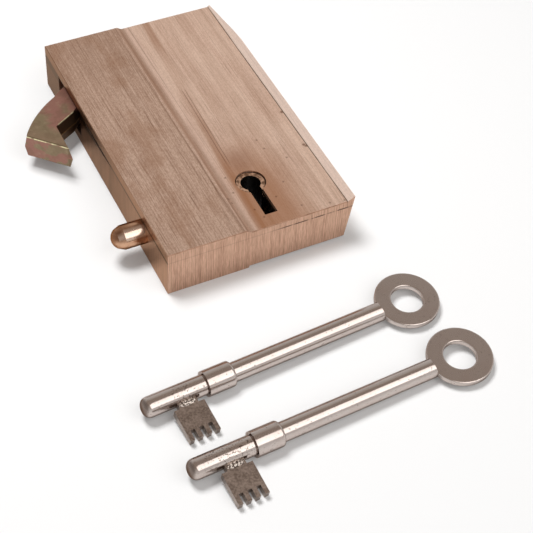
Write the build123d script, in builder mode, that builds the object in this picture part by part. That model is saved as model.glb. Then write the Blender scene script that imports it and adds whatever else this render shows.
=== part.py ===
"""Gate lock with a swinging hook bolt, five levers and two pin keys.

The frame stands at the centre of the forend, the face that the hook leaves:
X runs into the depth of the lock, Y along the case towards the hook, Z out
through the cover. The lock lies on its back, with its two keys beside it.
"""

import math
import os

from build123d import *

os.makedirs("parts", exist_ok=True)

# Case and cover
CASE_LENGTH = 127.5
CASE_DEPTH = 76.0
FRONT_THICKNESS = 20.5
REAR_THICKNESS = 18.0
FRONT_DEPTH = 31.2
STEP_RUN = 2.0
BACK_STEP_DEPTH = 32.8
BACK_STEP_RUN = 0.3
CAVITY_HEIGHT = 12.0
FOREND_WALL = 3.5
END_WALL = 3.5
CAVITY_CORNER = 3.0
SOLID_CORNER_DEPTH = 25.0
SOLID_CORNER_GAP = 0.5
RIM_WIDTH = 3.0
COVER_GAP = 0.1
LEDGE_WIDTH = 2.0
RIM_RISE = 1.7
RIM_SLOPE_RUN = 2.6
BACK_LEAN = 3.1
TAPER_LENGTH = 27.0
TAPER_DEPTH = 2.2
EDGE_BREAK = 0.3

# Slot for the hook, and the shallow milled relief beside it
NOSE_SLOT_CLEARANCE = 0.55
TIP_SLOT_CLEARANCE = 0.15
RELIEF_LENGTH = 30.0
RELIEF_DEPTH = 1.25
RELIEF_GAP = 3.2

# Keyhole
KEYHOLE_X = 44.2
KEYHOLE_Y = -39.65
KEY_SLOT_WIDTH = 5.1
KEY_SLOT_CLEARANCE = 0.2
CURTAIN_RADIUS = 5.55
CURTAIN_CLEARANCE = 0.35
CURTAIN_FLANGE_RADIUS = 7.4
CURTAIN_FLANGE = 1.0
CURTAIN_RECESS = 0.8
KEY_CLEARANCE = 0.15

# Clearances between flat pieces and on turning ones
SIDE_CLEARANCE = 0.1
RUNNING_CLEARANCE = 0.05

# Hook and its pivot
PIVOT_X = 29.5
PIVOT_Y = -3.75
PIVOT_RADIUS = 4.0
PIVOT_BASE_RADIUS = 5.0
PIVOT_SPIGOT_RADIUS = 3.0
HOOK_THICKNESS = 10.3
HOOK_BULGE = 1.05
HOOK_EDGE_RADIUS = 1.0
HOOK_FLANK_RADIUS = 0.8
HOOK_BOSS_RADIUS = 9.5
HOOK_SWING = 36.0
HOOK_RELIEF_MARGIN = 3.5
SHANK_INNER_RADIUS = 42.75
SHANK_OUTER_RADIUS = 56.0
HEEL_ANGLE = 96.0
CROWN_START = 129.9
CROWN_X = 19.4
CROWN_Y = -5.2
CROWN_RADIUS = 51.1
CROWN_ANGLES = (120.1, 134.0, 147.0)
THROAT_ANGLE = 136.0
WEB_ANGLE = 124.0
JAW_X = -9.8
JAW_TOP_Y = 20.4
THROAT_X = -8.9
THROAT_Y = 21.4
NOSE_OFFSET = -3.2
NOSE_ALLOWANCE = 3.0
HOOK_WASHER_RADIUS = 8.0
WASHER_THICKNESS = 0.6

# Drive bolt, the flat slide between key and hook
BOLT_THICKNESS = 2.3
BOLT_MARGIN = 3.6
BOLT_OVERHANG = 4.5
TALON_WIDTH = 8.0
TALON_DEPTH = 4.4
BOLT_KEY_HEIGHT = 15.0
DRIVE_RADIUS = 20.0
DRIVE_PIN_RADIUS = 2.5
DRIVE_SLACK = 0.15
DRIVE_ARM_RADIUS = 6.0
RIVET_RADIUS = 1.6
GUIDE_X = 26.0
GUIDE_Y = -18.0
GUIDE_RADIUS = 3.0

# Levers
LEVER_COUNT = 5
LEVER_THICKNESS = 1.4
LEVER_PITCH = 1.6
LEVER_SETBACK = 11.5
LEVER_Y = -16.75
LEVER_BOSS_RADIUS = 5.0
LEVER_POST_RADIUS = 2.6
LEVER_BASE_RADIUS = 4.0
LEVER_SPIGOT_RADIUS = 2.0
LEVER_NOSE_X = 36.6
LEVER_TOP = 6.5
STUMP_X = 42.0
STUMP_SIZE = 4.0
STUMP_CLEARANCE = 0.2
POCKET_PLAY = 0.6
LEVER_DROP = 5.0
LEVER_OVERLIFT = 2.0
SPRING_THICKNESS = 0.4
SPRING_WIDTH = 1.2
SPRING_ROOT_OFFSET = 3.5
SPRING_ROOT_DEPTH = 1.6
SPRING_HEIGHT = 22.0
SPRING_REACH = 6.6

# Post ends that seat in blind holes of the cover
POST_SEAT_DEPTH = 1.5

# Screws that hold the cover, driven from the back
SCREW_RADIUS = 2.0
SCREW_CLEARANCE = 0.2
SCREW_HEAD_RADIUS = 3.8
SCREW_SEAT_DEPTH = 2.2
SCREW_SOCKET_WIDTH = 2.5
SCREW_SOCKET_DEPTH = 1.4
PILLAR_RADIUS = 3.4
PILLAR_INSET_X = 7.5
PILLAR_REAR_INSET = 4.2
PILLAR_INSET_Y = 7.3

# Locating pin in the forend
PIN_Y = -40.4
PIN_HEIGHT = 0.9
PIN_RADIUS = 4.75
PIN_BARREL = 8.2
PIN_CONE = 2.4
PIN_CONE_RADIUS = 3.7
PIN_LENGTH = 12.6
PIN_SPIGOT_RADIUS = 3.4
PIN_SPIGOT_LENGTH = 9.0

# Keys
KEY_LENGTH = 120.4
KEY_TIP_RADIUS = 3.75
KEY_TIP_DOME = 2.8
KEY_TIP_FLAT = 1.1
COLLAR_START = 24.0
COLLAR_END = 34.8
COLLAR_RADIUS = 4.75
COLLAR_ROUND = 1.15
UNDERCUT_WIDTH = 0.5
UNDERCUT_DEPTH = 0.3
SHANK_RADIUS = 3.6
BOW_RADIUS = 12.15
BOW_HOLE_RADIUS = 6.0
BOW_THICKNESS = 2.3
BOW_EDGE = 0.55
BOW_ROLL = 4.2
BIT_START = 9.3
BIT_WIDTH = 11.5
BIT_REACH = 17.8
BIT_THICKNESS = 3.0
BIT_SHOULDER = 5.6
BIT_NECK_INSET = 2.2
BIT_NOTCHES = 3
BIT_NOTCH_DEPTH = 3.6
KEY_TIPS = [(-30.3, -112.2), (-26.1, -141.45)]
KEY_HEADINGS = [4.4, 3.75]

# Levels and places that follow from the sizes above
half_length = CASE_LENGTH / 2
front_top = FRONT_THICKNESS / 2
rear_top = REAR_THICKNESS / 2
cavity_top = CAVITY_HEIGHT / 2
rim_top = rear_top + RIM_RISE
cover_depth = CASE_DEPTH - RIM_WIDTH
wall_inner_x = cover_depth - LEDGE_WIDTH
lever_x = CASE_DEPTH - LEVER_SETBACK
spring_root_x = lever_x - SPRING_ROOT_OFFSET
key_slot_reach = BIT_REACH + KEY_SLOT_CLEARANCE
hook_half = HOOK_THICKNESS / 2
half_swing = math.radians(HOOK_SWING / 2)
bolt_travel = 2 * DRIVE_RADIUS * math.tan(half_swing)
bolt_bottom = -cavity_top + SIDE_CLEARANCE
bolt_top = bolt_bottom + BOLT_THICKNESS
bolt_low_y = KEYHOLE_Y + BOLT_KEY_HEIGHT
pack_bottom = bolt_top + 2 * SIDE_CLEARANCE
pack_top = pack_bottom + (LEVER_COUNT - 1) * LEVER_PITCH + LEVER_THICKNESS
base_height = cavity_top + bolt_top + SIDE_CLEARANCE
curtain_hole_radius = CURTAIN_RADIUS + CURTAIN_CLEARANCE
table_z = -front_top

pillar_places = [
    (PILLAR_INSET_X, -half_length + PILLAR_INSET_Y),
    (PILLAR_INSET_X, half_length - PILLAR_INSET_Y),
    (wall_inner_x - PILLAR_REAR_INSET, -half_length + PILLAR_INSET_Y),
    (wall_inner_x - PILLAR_REAR_INSET, half_length - PILLAR_INSET_Y),
]


def back_level(x):
    """Height of the case's back face at a distance x from the forend."""
    if x < BACK_STEP_DEPTH:
        return -front_top
    return -rear_top


def polar(radius, angle):
    """A point at a radius and an angle in degrees about the hook's pivot."""
    turn = math.radians(angle)
    return (PIVOT_X + radius * math.cos(turn), PIVOT_Y + radius * math.sin(turn))


# The slot clears the circles on which the hook's nose and tip swing
crown_end = (
    CROWN_X + CROWN_RADIUS * math.cos(math.radians(CROWN_ANGLES[2])),
    CROWN_Y + CROWN_RADIUS * math.sin(math.radians(CROWN_ANGLES[2])),
)
nose_sweep = math.dist(crown_end, (PIVOT_X, PIVOT_Y)) + NOSE_SLOT_CLEARANCE
tip_sweep = math.dist((JAW_X, NOSE_OFFSET - JAW_X), (PIVOT_X, PIVOT_Y)) - TIP_SLOT_CLEARANCE
slot_near_y = PIVOT_Y + math.sqrt(tip_sweep**2 - PIVOT_X**2)
slot_far_y = PIVOT_Y + math.sqrt(nose_sweep**2 - PIVOT_X**2)
slot_flare_y = PIVOT_Y + math.sqrt(nose_sweep**2 - (PIVOT_X - FOREND_WALL) ** 2)

# Case: a cast tray with a raised back wall, stepped thicker along the forend
with BuildPart() as case_body:
    with BuildSketch(Plane.XZ):
        Polygon(
            (0, -front_top),
            (BACK_STEP_DEPTH, -front_top),
            (BACK_STEP_DEPTH + BACK_STEP_RUN, -rear_top),
            (CASE_DEPTH - BACK_LEAN, -rear_top),
            (CASE_DEPTH, rim_top),
            (cover_depth + RIM_SLOPE_RUN, rim_top),
            (cover_depth, rear_top),
            (cover_depth, cavity_top),
            (0, cavity_top),
            align=None,
        )
    extrude(amount=half_length, both=True)
    # The back wall narrows towards the hook end
    with BuildSketch(Plane.XY.offset(-front_top)):
        Polygon(
            (CASE_DEPTH, half_length - TAPER_LENGTH),
            (CASE_DEPTH - TAPER_DEPTH, half_length),
            (CASE_DEPTH + TAPER_DEPTH, half_length),
            align=None,
        )
    extrude(amount=front_top + rim_top, mode=Mode.SUBTRACT)
    case_edges = case_body.edges().filter_by(Axis.X).group_by(Axis.Z)[0]
    case_edges += case_body.edges().filter_by(Axis.Y).group_by(Axis.X)[0].group_by(Axis.Z)[0]
    chamfer(case_edges, EDGE_BREAK)
    # Cavity with its corner pillars, left solid in the corner that holds the locating pin
    with BuildSketch(Plane.XY.offset(-cavity_top)):
        with Locations(((FOREND_WALL + wall_inner_x) / 2, 0)):
            RectangleRounded(wall_inner_x - FOREND_WALL, CASE_LENGTH - 2 * END_WALL, CAVITY_CORNER)
        with Locations(*pillar_places):
            Circle(PILLAR_RADIUS, mode=Mode.SUBTRACT)
        with Locations((0, bolt_low_y - SOLID_CORNER_GAP)):
            Rectangle(
                SOLID_CORNER_DEPTH, CASE_LENGTH, align=(Align.MIN, Align.MAX), mode=Mode.SUBTRACT
            )
    extrude(amount=2 * cavity_top, mode=Mode.SUBTRACT)
    with BuildSketch(Plane.XY.offset(-cavity_top)):
        with Locations((GUIDE_X, GUIDE_Y)):
            Circle(GUIDE_RADIUS)
    extrude(amount=base_height)
    # Slot that lets the hook out, open up to the cover
    with BuildSketch(Plane.XY.offset(-cavity_top)):
        Polygon(
            (0, slot_near_y),
            (FOREND_WALL, slot_near_y),
            (FOREND_WALL, slot_flare_y),
            (0, slot_far_y),
            align=None,
        )
    extrude(amount=2 * cavity_top, mode=Mode.SUBTRACT)
    # Relief on the forend wall's upper edge, a segment of a large circle
    relief_near_y = slot_near_y - RELIEF_GAP - RELIEF_LENGTH
    with BuildSketch(Plane.YZ):
        with BuildLine():
            relief_arc = ThreePointArc(
                (relief_near_y, cavity_top),
                (relief_near_y + RELIEF_LENGTH / 2, cavity_top - RELIEF_DEPTH),
                (relief_near_y + RELIEF_LENGTH, cavity_top),
            )
            Line(relief_arc @ 1, relief_arc @ 0)
        make_face()
    extrude(amount=FOREND_WALL, mode=Mode.SUBTRACT)
    # Keyhole through the back, the same as in the cover
    with BuildSketch(Plane.XY.offset(-front_top)):
        with Locations((KEYHOLE_X, KEYHOLE_Y)):
            Circle(curtain_hole_radius)
        with Locations((KEYHOLE_X, KEYHOLE_Y - key_slot_reach / 2)):
            Rectangle(KEY_SLOT_WIDTH, key_slot_reach)
    extrude(amount=front_top, mode=Mode.SUBTRACT)
    # Seats of the two posts and of the locating pin
    with Locations((PIVOT_X, PIVOT_Y, -cavity_top)):
        Hole(PIVOT_SPIGOT_RADIUS, depth=front_top)
    with Locations((lever_x, LEVER_Y, -cavity_top)):
        Hole(LEVER_SPIGOT_RADIUS, depth=front_top)
    with Locations(Plane((0, PIN_Y, PIN_HEIGHT), z_dir=(-1, 0, 0))):
        Hole(PIN_SPIGOT_RADIUS, depth=PIN_SPIGOT_LENGTH)
    for place_x, place_y in pillar_places:
        with Locations(Plane((place_x, place_y, back_level(place_x)), z_dir=(0, 0, -1))):
            CounterSinkHole(SCREW_RADIUS + SCREW_CLEARANCE, SCREW_HEAD_RADIUS, depth=FRONT_THICKNESS)
case_body.part.label = "case_body"
export_step(case_body.part, "parts/case_body.step")

# Cover: a plate with a flat underside and the same step as the case
with BuildPart() as cover_plate:
    with BuildSketch(Plane.XZ):
        Polygon(
            (0, cavity_top),
            (0, front_top),
            (FRONT_DEPTH, front_top),
            (FRONT_DEPTH + STEP_RUN, rear_top),
            (cover_depth - COVER_GAP, rear_top),
            (cover_depth - COVER_GAP, cavity_top),
            align=None,
        )
    extrude(amount=half_length, both=True)
    cover_edges = cover_plate.edges().filter_by(Axis.X).group_by(Axis.Z)[1:]
    front_edge = cover_plate.edges().filter_by(Axis.Y).group_by(Axis.X)[0].group_by(Axis.Z)[-1]
    chamfer([edge for group in cover_edges for edge in group] + front_edge, EDGE_BREAK)
    with BuildSketch(Plane.XY.offset(cavity_top)):
        with Locations((KEYHOLE_X, KEYHOLE_Y)):
            Circle(curtain_hole_radius)
        with Locations((KEYHOLE_X, KEYHOLE_Y - key_slot_reach / 2)):
            Rectangle(KEY_SLOT_WIDTH, key_slot_reach)
    extrude(amount=front_top, mode=Mode.SUBTRACT)
    # Blind holes in the underside, for the posts and the screws
    underside = Plane((0, 0, cavity_top), x_dir=(1, 0, 0), z_dir=(0, 0, -1))
    with Locations(underside):
        with Locations((PIVOT_X, -PIVOT_Y)):
            Hole(PIVOT_RADIUS, depth=POST_SEAT_DEPTH)
        with Locations((lever_x, -LEVER_Y)):
            Hole(LEVER_POST_RADIUS, depth=POST_SEAT_DEPTH)
        with Locations(*[(x, -y) for x, y in pillar_places]):
            Hole(SCREW_RADIUS, depth=SCREW_SEAT_DEPTH)
cover_plate.part.label = "cover_plate"
export_step(cover_plate.part, "parts/cover_plate.step")

# Countersunk screws, four alike but for the step in the case's back
with BuildPart() as cover_screws:
    for place_x, place_y in pillar_places:
        screw_bottom = back_level(place_x)
        head_height = SCREW_HEAD_RADIUS - SCREW_RADIUS
        with BuildSketch(Plane((place_x, place_y, screw_bottom), x_dir=(1, 0, 0), z_dir=(0, -1, 0))):
            Polygon(
                (0, 0),
                (SCREW_HEAD_RADIUS - SCREW_CLEARANCE, 0),
                (SCREW_RADIUS - SCREW_CLEARANCE, head_height),
                (SCREW_RADIUS - SCREW_CLEARANCE, cavity_top - screw_bottom),
                (SCREW_RADIUS, cavity_top - screw_bottom),
                (SCREW_RADIUS, cavity_top + SCREW_SEAT_DEPTH - screw_bottom),
                (0, cavity_top + SCREW_SEAT_DEPTH - screw_bottom),
                align=None,
            )
        revolve(axis=Axis((place_x, place_y, 0), (0, 0, 1)))
        with BuildSketch(Plane((place_x, place_y, screw_bottom))):
            RegularPolygon(SCREW_SOCKET_WIDTH / 2, 6, major_radius=False)
        extrude(amount=SCREW_SOCKET_DEPTH, mode=Mode.SUBTRACT)
cover_screws.part.label = "cover_screws"
export_step(cover_screws.part, "parts/cover_screws.step")

# Locating pin: a turned dowel with a tapered, domed nose
with BuildPart() as locating_pin:
    with BuildSketch(Plane((0, PIN_Y, PIN_HEIGHT), x_dir=(-1, 0, 0), z_dir=(0, -1, 0))):
        with BuildLine():
            Polyline(
                (PIN_LENGTH, 0),
                (-PIN_SPIGOT_LENGTH, 0),
                (-PIN_SPIGOT_LENGTH, PIN_SPIGOT_RADIUS),
                (0, PIN_SPIGOT_RADIUS),
                (0, PIN_RADIUS),
                (PIN_BARREL, PIN_RADIUS),
                (PIN_BARREL + PIN_CONE, PIN_CONE_RADIUS),
            )
            TangentArc((PIN_LENGTH, 0), (PIN_BARREL + PIN_CONE, PIN_CONE_RADIUS), tangent=(0, 1))
        make_face()
    revolve(axis=Axis((0, PIN_Y, PIN_HEIGHT), (1, 0, 0)))
locating_pin.part.label = "locating_pin"
export_step(locating_pin.part, "parts/locating_pin.step")

# Hook pivot: a shouldered post, its broad base also guides the drive bolt
with BuildPart() as hook_pivot_post:
    with BuildSketch(Plane.XY.offset(back_level(PIVOT_X))):
        with Locations((PIVOT_X, PIVOT_Y)):
            Circle(PIVOT_SPIGOT_RADIUS)
    extrude(amount=-back_level(PIVOT_X) - cavity_top)
    with BuildSketch(Plane.XY.offset(-cavity_top)):
        with Locations((PIVOT_X, PIVOT_Y)):
            Circle(PIVOT_BASE_RADIUS)
    extrude(amount=base_height)
    with BuildSketch(Plane.XY.offset(-cavity_top + base_height)):
        with Locations((PIVOT_X, PIVOT_Y)):
            Circle(PIVOT_RADIUS)
    extrude(amount=2 * cavity_top - base_height + POST_SEAT_DEPTH)
hook_pivot_post.part.label = "hook_pivot_post"
export_step(hook_pivot_post.part, "parts/hook_pivot_post.step")

# Hook: a forging with draft both ways from its middle plane and a sawn nose
relief_radius = DRIVE_RADIUS + DRIVE_ARM_RADIUS + HOOK_RELIEF_MARGIN


with BuildPart() as hook_bolt:
    # The outline at mid height, and drawn in by the draft at the face
    for level, inset in ((0, 0), (hook_half, HOOK_BULGE)):
        outer = SHANK_OUTER_RADIUS - inset
        inner = SHANK_INNER_RADIUS + inset
        boss = HOOK_BOSS_RADIUS - inset
        shift = math.degrees(inset / SHANK_INNER_RADIUS)
        crown = [
            Vector(CROWN_X, CROWN_Y) + Vector(CROWN_RADIUS - inset, 0).rotate(Axis.Z, angle)
            for angle in CROWN_ANGLES
        ]
        with BuildSketch(Plane.XY.offset(level)):
            with BuildLine():
                ThreePointArc(
                    polar(outer, HEEL_ANGLE + shift),
                    polar(outer, (HEEL_ANGLE + CROWN_START) / 2),
                    crown[0],
                )
                ThreePointArc(*crown)
                throat = Polyline(
                    crown[2],
                    crown[2] - (NOSE_ALLOWANCE, 2 * NOSE_ALLOWANCE),
                    (JAW_X - inset, NOSE_OFFSET - JAW_X - NOSE_ALLOWANCE),
                    (JAW_X - inset, JAW_TOP_Y + inset),
                    (THROAT_X - 0.4 * inset, THROAT_Y + inset),
                    polar(inner, THROAT_ANGLE),
                )
                ThreePointArc(
                    throat @ 1,
                    polar(inner, (THROAT_ANGLE + WEB_ANGLE) / 2),
                    polar(inner, WEB_ANGLE - shift),
                )
                Line(polar(inner, WEB_ANGLE - shift), polar(boss, 200))
                ThreePointArc(polar(boss, 200), polar(boss, 287), polar(boss, 14))
                Polyline(
                    polar(boss, 14),
                    polar(inner, HEEL_ANGLE - 3 + shift),
                    polar(outer, HEEL_ANGLE + shift),
                )
            make_face()
    loft(ruled=True)
    mirror(about=Plane.XY)
    # The nose is cut square at 45 degrees to the forend
    with BuildSketch(Plane.XY.offset(-hook_half)):
        Polygon(
            (NOSE_OFFSET - CROWN_RADIUS, CROWN_RADIUS),
            (NOSE_OFFSET, 0),
            (NOSE_OFFSET - CROWN_RADIUS, 0),
            align=None,
        )
    extrude(amount=HOOK_THICKNESS, mode=Mode.SUBTRACT)
    nose_limit = JAW_X - HOOK_BULGE / 2
    nose_edges = hook_bolt.edges().group_by(Axis.Z)[0].filter_by(GeomType.LINE)
    fillet(nose_edges.filter_by_position(Axis.X, -CROWN_RADIUS, nose_limit), HOOK_EDGE_RADIUS)
    crown_edges = hook_bolt.edges().group_by(Axis.Z)[0].filter_by(GeomType.CIRCLE)
    fillet(crown_edges.filter_by_position(Axis.X, -CROWN_RADIUS, nose_limit), HOOK_FLANK_RADIUS)
    # Room under the eye and the web for the drive bolt
    with BuildSketch(Plane.XY.offset(-hook_half)):
        with Locations((PIVOT_X, PIVOT_Y)):
            Circle(relief_radius)
    extrude(amount=bolt_top + 2 * SIDE_CLEARANCE + hook_half, mode=Mode.SUBTRACT)
    with BuildSketch(Plane.XY.offset(-hook_half)):
        with Locations((PIVOT_X, PIVOT_Y)):
            Circle(PIVOT_RADIUS + RUNNING_CLEARANCE)
        drive_far = DRIVE_RADIUS / math.cos(half_swing)
        drive_middle = (DRIVE_RADIUS + drive_far) / 2
        drive_angle = 90 + HOOK_SWING / 2
        with Locations(Location((*polar(drive_middle, drive_angle), 0), (0, 0, drive_angle))):
            SlotCenterToCenter(drive_far - DRIVE_RADIUS + 2 * DRIVE_SLACK, 2 * (DRIVE_PIN_RADIUS + DRIVE_SLACK))
    extrude(amount=HOOK_THICKNESS, mode=Mode.SUBTRACT)
hook_bolt.part.label = "hook_bolt"
export_step(hook_bolt.part, "parts/hook_bolt.step")

# Washer that takes up the room between the hook's eye and the cover
with BuildPart() as hook_washer:
    with BuildSketch(Plane.XY.offset(hook_half + SIDE_CLEARANCE)):
        with Locations((PIVOT_X, PIVOT_Y)):
            Circle(HOOK_WASHER_RADIUS)
            Circle(PIVOT_RADIUS + RUNNING_CLEARANCE, mode=Mode.SUBTRACT)
    extrude(amount=WASHER_THICKNESS)
hook_washer.part.label = "hook_washer"
export_step(hook_washer.part, "parts/hook_washer.step")

# Drive bolt: slides along X on the pivot's base and on a stud of the case
drive_x = PIVOT_X - bolt_travel / 2
drive_y = PIVOT_Y + DRIVE_RADIUS
bolt_left_x = PIVOT_X - bolt_travel - PIVOT_BASE_RADIUS - BOLT_MARGIN
band_top_y = PIVOT_Y + PIVOT_BASE_RADIUS + BOLT_MARGIN
band_right_x = PIVOT_X + PIVOT_BASE_RADIUS + BOLT_MARGIN
talon_x = KEYHOLE_X - bolt_travel / 2
with BuildPart() as drive_bolt:
    with BuildSketch(Plane.XY.offset(bolt_bottom)):
        Polygon(
            (bolt_left_x, bolt_low_y),
            (STUMP_X + BOLT_OVERHANG, bolt_low_y),
            (STUMP_X + BOLT_OVERHANG, LEVER_Y + STUMP_SIZE),
            (band_right_x, PIVOT_Y - PIVOT_BASE_RADIUS),
            (band_right_x, band_top_y),
            (bolt_left_x, band_top_y),
            align=None,
        )
        with Locations((drive_x, drive_y)):
            Circle(DRIVE_ARM_RADIUS)
            Rectangle(2 * DRIVE_ARM_RADIUS, drive_y - PIVOT_Y, align=(Align.CENTER, Align.MAX))
        with Locations((drive_x, PIVOT_Y)):
            SlotCenterToCenter(
                bolt_travel, 2 * (PIVOT_BASE_RADIUS + RUNNING_CLEARANCE), mode=Mode.SUBTRACT
            )
        with Locations((GUIDE_X - bolt_travel / 2, GUIDE_Y)):
            SlotCenterToCenter(bolt_travel, 2 * (GUIDE_RADIUS + RUNNING_CLEARANCE), mode=Mode.SUBTRACT)
        with Locations((talon_x, bolt_low_y)):
            Rectangle(TALON_WIDTH, 2 * TALON_DEPTH, mode=Mode.SUBTRACT)
        with Locations((drive_x, drive_y), (STUMP_X, LEVER_Y)):
            Circle(RIVET_RADIUS, mode=Mode.SUBTRACT)
    extrude(amount=BOLT_THICKNESS)
drive_bolt.part.label = "drive_bolt"
export_step(drive_bolt.part, "parts/drive_bolt.step")

# Drive pin: riveted in the bolt, works in the slot of the hook
with BuildPart() as drive_pin:
    with BuildSketch(Plane.XY.offset(bolt_bottom)):
        with Locations((drive_x, drive_y)):
            Circle(RIVET_RADIUS)
    extrude(amount=BOLT_THICKNESS)
    with BuildSketch(Plane.XY.offset(bolt_top)):
        with Locations((drive_x, drive_y)):
            Circle(DRIVE_PIN_RADIUS)
    extrude(amount=hook_half - bolt_top)
    chamfer(drive_pin.faces().sort_by(Axis.Z)[-1].edges(), EDGE_BREAK)
drive_pin.part.label = "drive_pin"
export_step(drive_pin.part, "parts/drive_pin.step")

# Stump: the square block that has to pass the gates of all the levers
with BuildPart() as bolt_stump:
    with BuildSketch(Plane.XY.offset(bolt_bottom)):
        with Locations((STUMP_X, LEVER_Y)):
            Circle(RIVET_RADIUS)
    extrude(amount=BOLT_THICKNESS)
    with BuildSketch(Plane.XY.offset(bolt_top)):
        with Locations((STUMP_X, LEVER_Y)):
            Rectangle(STUMP_SIZE, STUMP_SIZE)
    extrude(amount=pack_top - bolt_top)
    chamfer(bolt_stump.edges().filter_by(Axis.Z), EDGE_BREAK)
bolt_stump.part.label = "bolt_stump"
export_step(bolt_stump.part, "parts/bolt_stump.step")

# Lever post, with a base that carries the pack at the height of the bolt
with BuildPart() as lever_post:
    with BuildSketch(Plane.XY.offset(back_level(lever_x))):
        with Locations((lever_x, LEVER_Y)):
            Circle(LEVER_SPIGOT_RADIUS)
    extrude(amount=-back_level(lever_x) - cavity_top)
    with BuildSketch(Plane.XY.offset(-cavity_top)):
        with Locations((lever_x, LEVER_Y)):
            Circle(LEVER_BASE_RADIUS)
    extrude(amount=base_height)
    with BuildSketch(Plane.XY.offset(-cavity_top + base_height)):
        with Locations((lever_x, LEVER_Y)):
            Circle(LEVER_POST_RADIUS)
    extrude(amount=2 * cavity_top - base_height + POST_SEAT_DEPTH)
lever_post.part.label = "lever_post"
export_step(lever_post.part, "parts/lever_post.step")

# Levers, standing at the height at which their gates are in line
pocket_top = STUMP_SIZE / 2 + (lever_x - STUMP_X) * math.sin(math.radians(LEVER_DROP)) + POCKET_PLAY
pocket_low = STUMP_SIZE / 2 + (lever_x - STUMP_X) * math.sin(math.radians(LEVER_OVERLIFT)) + POCKET_PLAY
pocket_width = STUMP_SIZE + 2 * POCKET_PLAY
spring_top_y = LEVER_Y + SPRING_HEIGHT
for number in range(LEVER_COUNT):
    lever_bottom = pack_bottom + number * LEVER_PITCH
    # The even levers stand on the long steps of the bit, the others on the notches
    step = BIT_REACH if number % 2 else BIT_REACH - BIT_NOTCH_DEPTH
    belly_y = KEYHOLE_Y + step
    with BuildPart() as lever:
        with BuildSketch(Plane.XY.offset(lever_bottom)):
            with BuildLine():
                lever_top = Polyline(
                    (lever_x, LEVER_Y + LEVER_BOSS_RADIUS),
                    (lever_x - LEVER_BOSS_RADIUS, LEVER_Y + LEVER_TOP),
                    (LEVER_NOSE_X + BOLT_MARGIN, LEVER_Y + LEVER_TOP),
                    (LEVER_NOSE_X, LEVER_Y + LEVER_TOP - 2),
                    (LEVER_NOSE_X, LEVER_Y - LEVER_BOSS_RADIUS),
                    (KEYHOLE_X - STUMP_SIZE, belly_y),
                )
                belly = ThreePointArc(
                    lever_top @ 1,
                    (KEYHOLE_X, belly_y - EDGE_BREAK),
                    (KEYHOLE_X + STUMP_SIZE, belly_y),
                )
                lever_low = Line(belly @ 1, (lever_x - LEVER_BOSS_RADIUS, LEVER_Y - LEVER_BOSS_RADIUS + 1))
                lever_root = Line(lever_low @ 1, (lever_x, LEVER_Y - LEVER_BOSS_RADIUS))
                Line(lever_root @ 1, lever_top @ 0)
            make_face()
            with Locations((lever_x, LEVER_Y)):
                Circle(LEVER_BOSS_RADIUS)
                Circle(LEVER_POST_RADIUS + RUNNING_CLEARANCE, mode=Mode.SUBTRACT)
            # Two pockets joined by the gate
            with Locations((STUMP_X, LEVER_Y), (STUMP_X + bolt_travel, LEVER_Y)):
                Rectangle(
                    pocket_width, pocket_top, align=(Align.CENTER, Align.MIN), mode=Mode.SUBTRACT
                )
                Rectangle(
                    pocket_width, pocket_low, align=(Align.CENTER, Align.MAX), mode=Mode.SUBTRACT
                )
            with Locations((STUMP_X + bolt_travel / 2, LEVER_Y)):
                Rectangle(bolt_travel, STUMP_SIZE + 2 * STUMP_CLEARANCE, mode=Mode.SUBTRACT)
            with Locations((spring_root_x, LEVER_Y + LEVER_TOP)):
                Rectangle(SPRING_THICKNESS, 4 * SPRING_ROOT_DEPTH, mode=Mode.SUBTRACT)
        extrude(amount=LEVER_THICKNESS)
    lever.part.label = f"lever_{number + 1}"
    export_step(lever.part, f"parts/lever_{number + 1}.step")

    # Leaf spring staked in the lever's upper edge, bearing towards the back wall
    root_y = LEVER_Y + LEVER_TOP - 2 * SPRING_ROOT_DEPTH
    with BuildPart() as lever_spring:
        with BuildSketch(Plane.XY.offset(lever_bottom + (LEVER_THICKNESS - SPRING_WIDTH) / 2)):
            with BuildLine():
                root = Line((spring_root_x, root_y), (spring_root_x, LEVER_Y + LEVER_TOP))
                TangentArc(
                    root @ 1,
                    (spring_root_x + SPRING_REACH, spring_top_y),
                    tangent=(0, 1),
                )
            trace(line_width=SPRING_THICKNESS)
        extrude(amount=SPRING_WIDTH)
    lever_spring.part.label = f"lever_spring_{number + 1}"
    export_step(lever_spring.part, f"parts/lever_spring_{number + 1}.step")

# Spacer that holds the pack down on its post
with BuildPart() as lever_spacer:
    with BuildSketch(Plane.XY.offset(pack_top + SIDE_CLEARANCE)):
        with Locations((lever_x, LEVER_Y)):
            Circle(LEVER_BASE_RADIUS)
            Circle(LEVER_POST_RADIUS, mode=Mode.SUBTRACT)
    extrude(amount=cavity_top - pack_top - SIDE_CLEARANCE)
lever_spacer.part.label = "lever_spacer"
export_step(lever_spacer.part, "parts/lever_spacer.step")

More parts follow.
